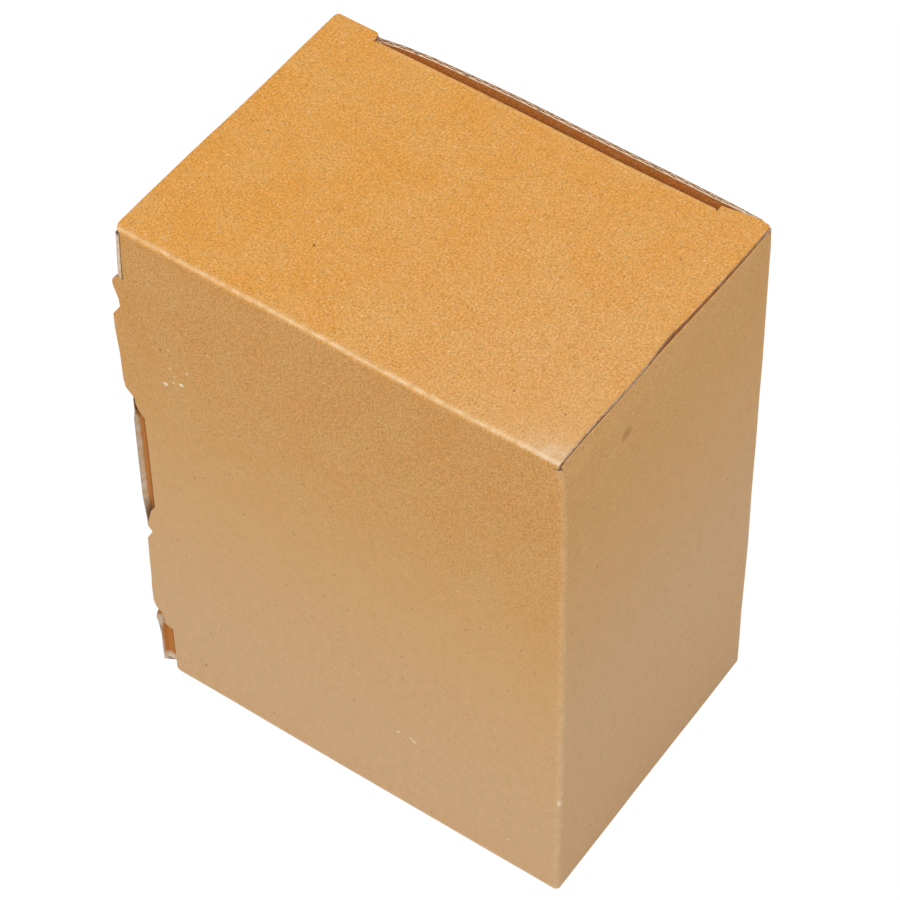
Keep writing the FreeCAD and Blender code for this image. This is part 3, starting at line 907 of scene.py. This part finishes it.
def makeMarks(kind):
    # one mask with every mark of a kind, its outline made ragged by a noise
    tree, given, out = startGroup("paper" + kind.capitalize(), [("Blank", "Vector")], [("Mask", "Float")])
    bent = nodeIn(tree, "ShaderNodeVectorMath", operation="ADD")
    wobble = nodeIn(tree, "ShaderNodeTexNoise", noise_dimensions="2D")
    wobble.inputs["Scale"].default_value = paper["wobble"]
    joinUp(tree, given["Blank"], wobble.inputs["Vector"])
    shift = nodeIn(tree, "ShaderNodeVectorMath", operation="MULTIPLY_ADD")
    joinUp(tree, wobble.outputs["Color"], shift.inputs[0])
    reach = paper["wobbleReach"]
    shift.inputs[1].default_value = (reach, reach, 0)
    shift.inputs[2].default_value = (-reach / 2, -reach / 2, 0)
    joinUp(tree, given["Blank"], bent.inputs[0])
    joinUp(tree, shift.outputs[0], bent.inputs[1])
    mask = 0.0
    for wall, x, z, long, wide, turn, strength in markTable[kind]:
        u = onWall("front" if wall == "lid" else wall, x)
        v = onLid(z) if wall == "lid" else z
        spot = nodeIn(tree, "ShaderNodeMapping", vector_type="TEXTURE")
        spot.inputs["Location"].default_value = (u * blankScale, v * blankScale, 0)
        spot.inputs["Rotation"].default_value = (0, 0, math.radians(turn))
        spot.inputs["Scale"].default_value = (long / 2 * blankScale, wide / 2 * blankScale, 1)
        joinUp(tree, bent.outputs[0], spot.inputs["Vector"])
        distance = nodeIn(tree, "ShaderNodeVectorMath", operation="LENGTH")
        joinUp(tree, spot.outputs[0], distance.inputs[0])
        inner = calc(tree, "MULTIPLY", remap(tree, distance.outputs["Value"], 1.3, 0.6), strength)
        mask = calc(tree, "MAXIMUM", mask, inner)
    joinUp(tree, mask, out["Mask"])
    return tree


markGroups = {kind: makeMarks(kind) for kind in markTable}


def startMaterial(name):
    material = bpy.data.materials.new(name)
    material.use_nodes = True
    tree = material.node_tree
    where = nodeIn(tree, "ShaderNodeUVMap", uv_map="blank").outputs[0]
    shared = nodeIn(tree, "ShaderNodeGroup", node_tree=fibres)
    joinUp(tree, where, shared.inputs[0])
    return material, tree, where, shared.outputs


def finishMaterial(tree, colour, height, roughness, strength):
    shader = tree.nodes["Principled BSDF"]
    bump = nodeIn(tree, "ShaderNodeBump")
    bump.inputs["Strength"].default_value = strength
    bump.inputs["Distance"].default_value = paper["bumpHeight"]
    joinUp(tree, height, bump.inputs["Height"])
    joinUp(tree, colour, shader.inputs["Base Color"])
    joinUp(tree, roughness, shader.inputs["Roughness"])
    joinUp(tree, bump.outputs[0], shader.inputs["Normal"])
    shader.inputs["Specular IOR Level"].default_value = paper["specular"]


def weaker(tree, mask, *shares):
    for share in shares:
        mask = calc(tree, "MULTIPLY", mask, share)
    return mask


def kraftMaterial():
    material, tree, where, mask = startMaterial("kraftLiner")
    fade, inside = attribute(tree, "fade"), attribute(tree, "inside")
    colour = blendColours(tree, mask["Clouds"], paper["warm"], paper["sandy"])
    # painted sheen and bounce light make the side faces paler
    colour = blendColours(tree, fade, colour, paper["faded"])
    # deeper orange inside: partly the inner liner's tone, partly painted bounce light
    colour = blendColours(tree, inside, colour, paper["inside"])
    tint = blendColours(tree, mask["Mottle"], *paper["mottleTint"])
    colour = blendColours(tree, 1.0, colour, tint, "MULTIPLY")
    # the grain is fainter where the painted sheen is stronger, so the walls' grain is fainter than the lid's
    plain = remap(tree, fade, *paper["grainUnderSheen"])
    grain = blendColours(tree, mask["Grain"], *paper["grainTint"])
    colour = blendColours(tree, plain, colour, blendColours(tree, 1.0, colour, grain, "MULTIPLY"))
    dots, specks = (spotsOn(tree, where, *paper[kind]) for kind in ("dots", "specks"))
    for share, tone in ((weaker(tree, mask["Dark"], paper["darkShare"], plain), "fibreDark"),
                        (weaker(tree, mask["Light"], paper["lightShare"], plain), "fibreLight"),
                        (weaker(tree, dots, paper["dotShare"]), "fibreDark"),
                        (weaker(tree, specks, paper["speckShare"]), "fibreLight")):
        colour = blendColours(tree, share, colour, paper[tone])
    # worn folds, the pale lap strip and the painted highlight near the lid's corner, broken up by the mottle
    ragged = remap(tree, mask["Mottle"], *paper["ragged"])
    outer = calc(tree, "SUBTRACT", 1.0, inside)
    worn = weaker(tree, attribute(tree, "wear"), paper["wearShare"])
    worn = calc(tree, "MULTIPLY", worn, ragged, clamp=True)
    colour = blendColours(tree, weaker(tree, worn, outer), colour, paper["worn"])
    pale = calc(tree, "MULTIPLY", attribute(tree, "pale"), ragged, clamp=True)
    colour = blendColours(tree, pale, colour, paper["pale"])
    for kind in ("stains", "scuffs", "flecks"):
        group = nodeIn(tree, "ShaderNodeGroup", node_tree=markGroups[kind])
        joinUp(tree, where, group.inputs[0])
        colour = blendColours(tree, weaker(tree, group.outputs[0], outer), colour, paper[kind])
    # painted shade in the gaps, the recess and the fold's dark outline
    colour = blendColours(tree, attribute(tree, "shade"), colour, paper["gap"])
    middle, spread = paper["roughness"], paper["roughnessSpread"]
    roughness = remap(tree, mask["Mottle"], 0.0, 1.0, middle - spread, middle + spread)
    finishMaterial(tree, colour, mask["Height"], roughness, paper["bump"])
    return material


def cutMaterial(name, dark, light):
    # torn fibres along a cut edge, darker with painted shade in the gaps
    material, tree, where, mask = startMaterial(name)
    streaks = noiseOn(tree, stretched(tree, where, 0, 0.3), paper["streaks"], 2.0, 0.7)
    colour = blendColours(tree, remap(tree, streaks, 0.35, 0.65), dark, light)
    colour = blendColours(tree, remap(tree, mask["Mottle"], 0.62, 0.9), colour, paper["cutGrey"])
    shade = weaker(tree, attribute(tree, "shade"), paper["cutShade"])
    colour = blendColours(tree, shade, colour, paper["gap"])
    height = calc(tree, "ADD", mask["Height"], streaks)
    finishMaterial(tree, colour, height, paper["cutRoughness"], paper["cutBump"])
    return material


kraft = kraftMaterial()
outerCut = cutMaterial("outerLinerEdge", *paper["linerCut"])
coreCut = cutMaterial("coreEdge", *paper["coreCut"])
for piece in cartonBoard + lidBoard:
    for material in (kraft, outerCut, coreCut):
        piece.data.materials.append(material)
print("papers made")

# The carton's pieces go on the carton's body; the lid's pieces start at the seam in the front wall and are
# baked where they stand
for piece in cartonBoard:
    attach(piece, "carton")
    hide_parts("box_body")
for piece in lidBoard:
    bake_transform(piece)
    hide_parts("lid")

# Floor, light and camera
studio = {
    "floorSize": 6.0,
    "floorTone": 0.7,
    "floorRoughness": 0.9,
    "floorGlow": 0.9,      # share of white in what the camera sees of the floor
    "glowStrength": 1.06,
    "worldLight": 0.62,
    "sunLight": 1.35,
    "sunAngle": 40,
    "sunTurn": (20, 3, 0),
}


def makeFloor():
    bm = bmesh.new()
    bmesh.ops.create_grid(bm, x_segments=1, y_segments=1, size=studio["floorSize"] / 2)
    mesh = bpy.data.meshes.new("floor")
    bm.to_mesh(mesh)
    bm.free()
    floor = bpy.data.objects.new("floor", mesh)
    bpy.context.scene.collection.objects.link(floor)
    material = bpy.data.materials.new("floorPaper")
    material.use_nodes = True
    tree = material.node_tree
    shader = tree.nodes["Principled BSDF"]
    joinUp(tree, (studio["floorTone"],) * 3, shader.inputs["Base Color"])
    joinUp(tree, studio["floorRoughness"], shader.inputs["Roughness"])
    glow = nodeIn(tree, "ShaderNodeEmission")
    joinUp(tree, studio["glowStrength"], glow.inputs["Strength"])
    seen = nodeIn(tree, "ShaderNodeLightPath").outputs["Is Camera Ray"]
    mix = nodeIn(tree, "ShaderNodeMixShader")
    joinUp(tree, calc(tree, "MULTIPLY", seen, studio["floorGlow"]), mix.inputs["Fac"])
    joinUp(tree, shader.outputs[0], mix.inputs[1])
    joinUp(tree, glow.outputs[0], mix.inputs[2])
    joinUp(tree, mix.outputs[0], tree.nodes["Material Output"].inputs["Surface"])
    mesh.materials.append(material)


def makeLight():
    world = bpy.data.worlds.new("studio")
    bpy.context.scene.world = world
    world.use_nodes = True
    tree = world.node_tree
    seen = nodeIn(tree, "ShaderNodeLightPath").outputs["Is Camera Ray"]
    background = tree.nodes["Background"]
    joinUp(tree, (1.0, 1.0, 1.0), background.inputs["Color"])
    joinUp(tree, remap(tree, seen, 0.0, 1.0, studio["worldLight"], 1.0), background.inputs["Strength"])
    sun = bpy.data.lights.new("softbox", "SUN")
    sun.energy = studio["sunLight"]
    sun.angle = math.radians(studio["sunAngle"])
    lamp = bpy.data.objects.new("softbox", sun)
    lamp.rotation_euler = [math.radians(turn) for turn in studio["sunTurn"]]
    bpy.context.scene.collection.objects.link(lamp)


makeFloor()
makeLight()
view = {
    "place": (0.3022, -0.4120, 0.7122),
    "forward": (-0.3692, 0.5066, -0.7791),
    "right": (0.8181, 0.5749, -0.0139),
    "lens": 151.6,
}
lens = bpy.data.cameras.new("camera")
lens.lens = view["lens"]
lens.sensor_width = 36
camera = bpy.data.objects.new("camera", lens)
forward = Vector(view["forward"]).normalized()
right = Vector(view["right"])
right = (right - forward * right.dot(forward)).normalized()
up = right.cross(forward)
camera.matrix_world = Matrix.Translation(view["place"]) @ Matrix((right, up, -forward)).transposed().to_4x4()
bpy.context.scene.collection.objects.link(camera)
bpy.context.scene.camera = camera
bpy.context.scene.view_settings.view_transform = "Standard"
print("studio ready")
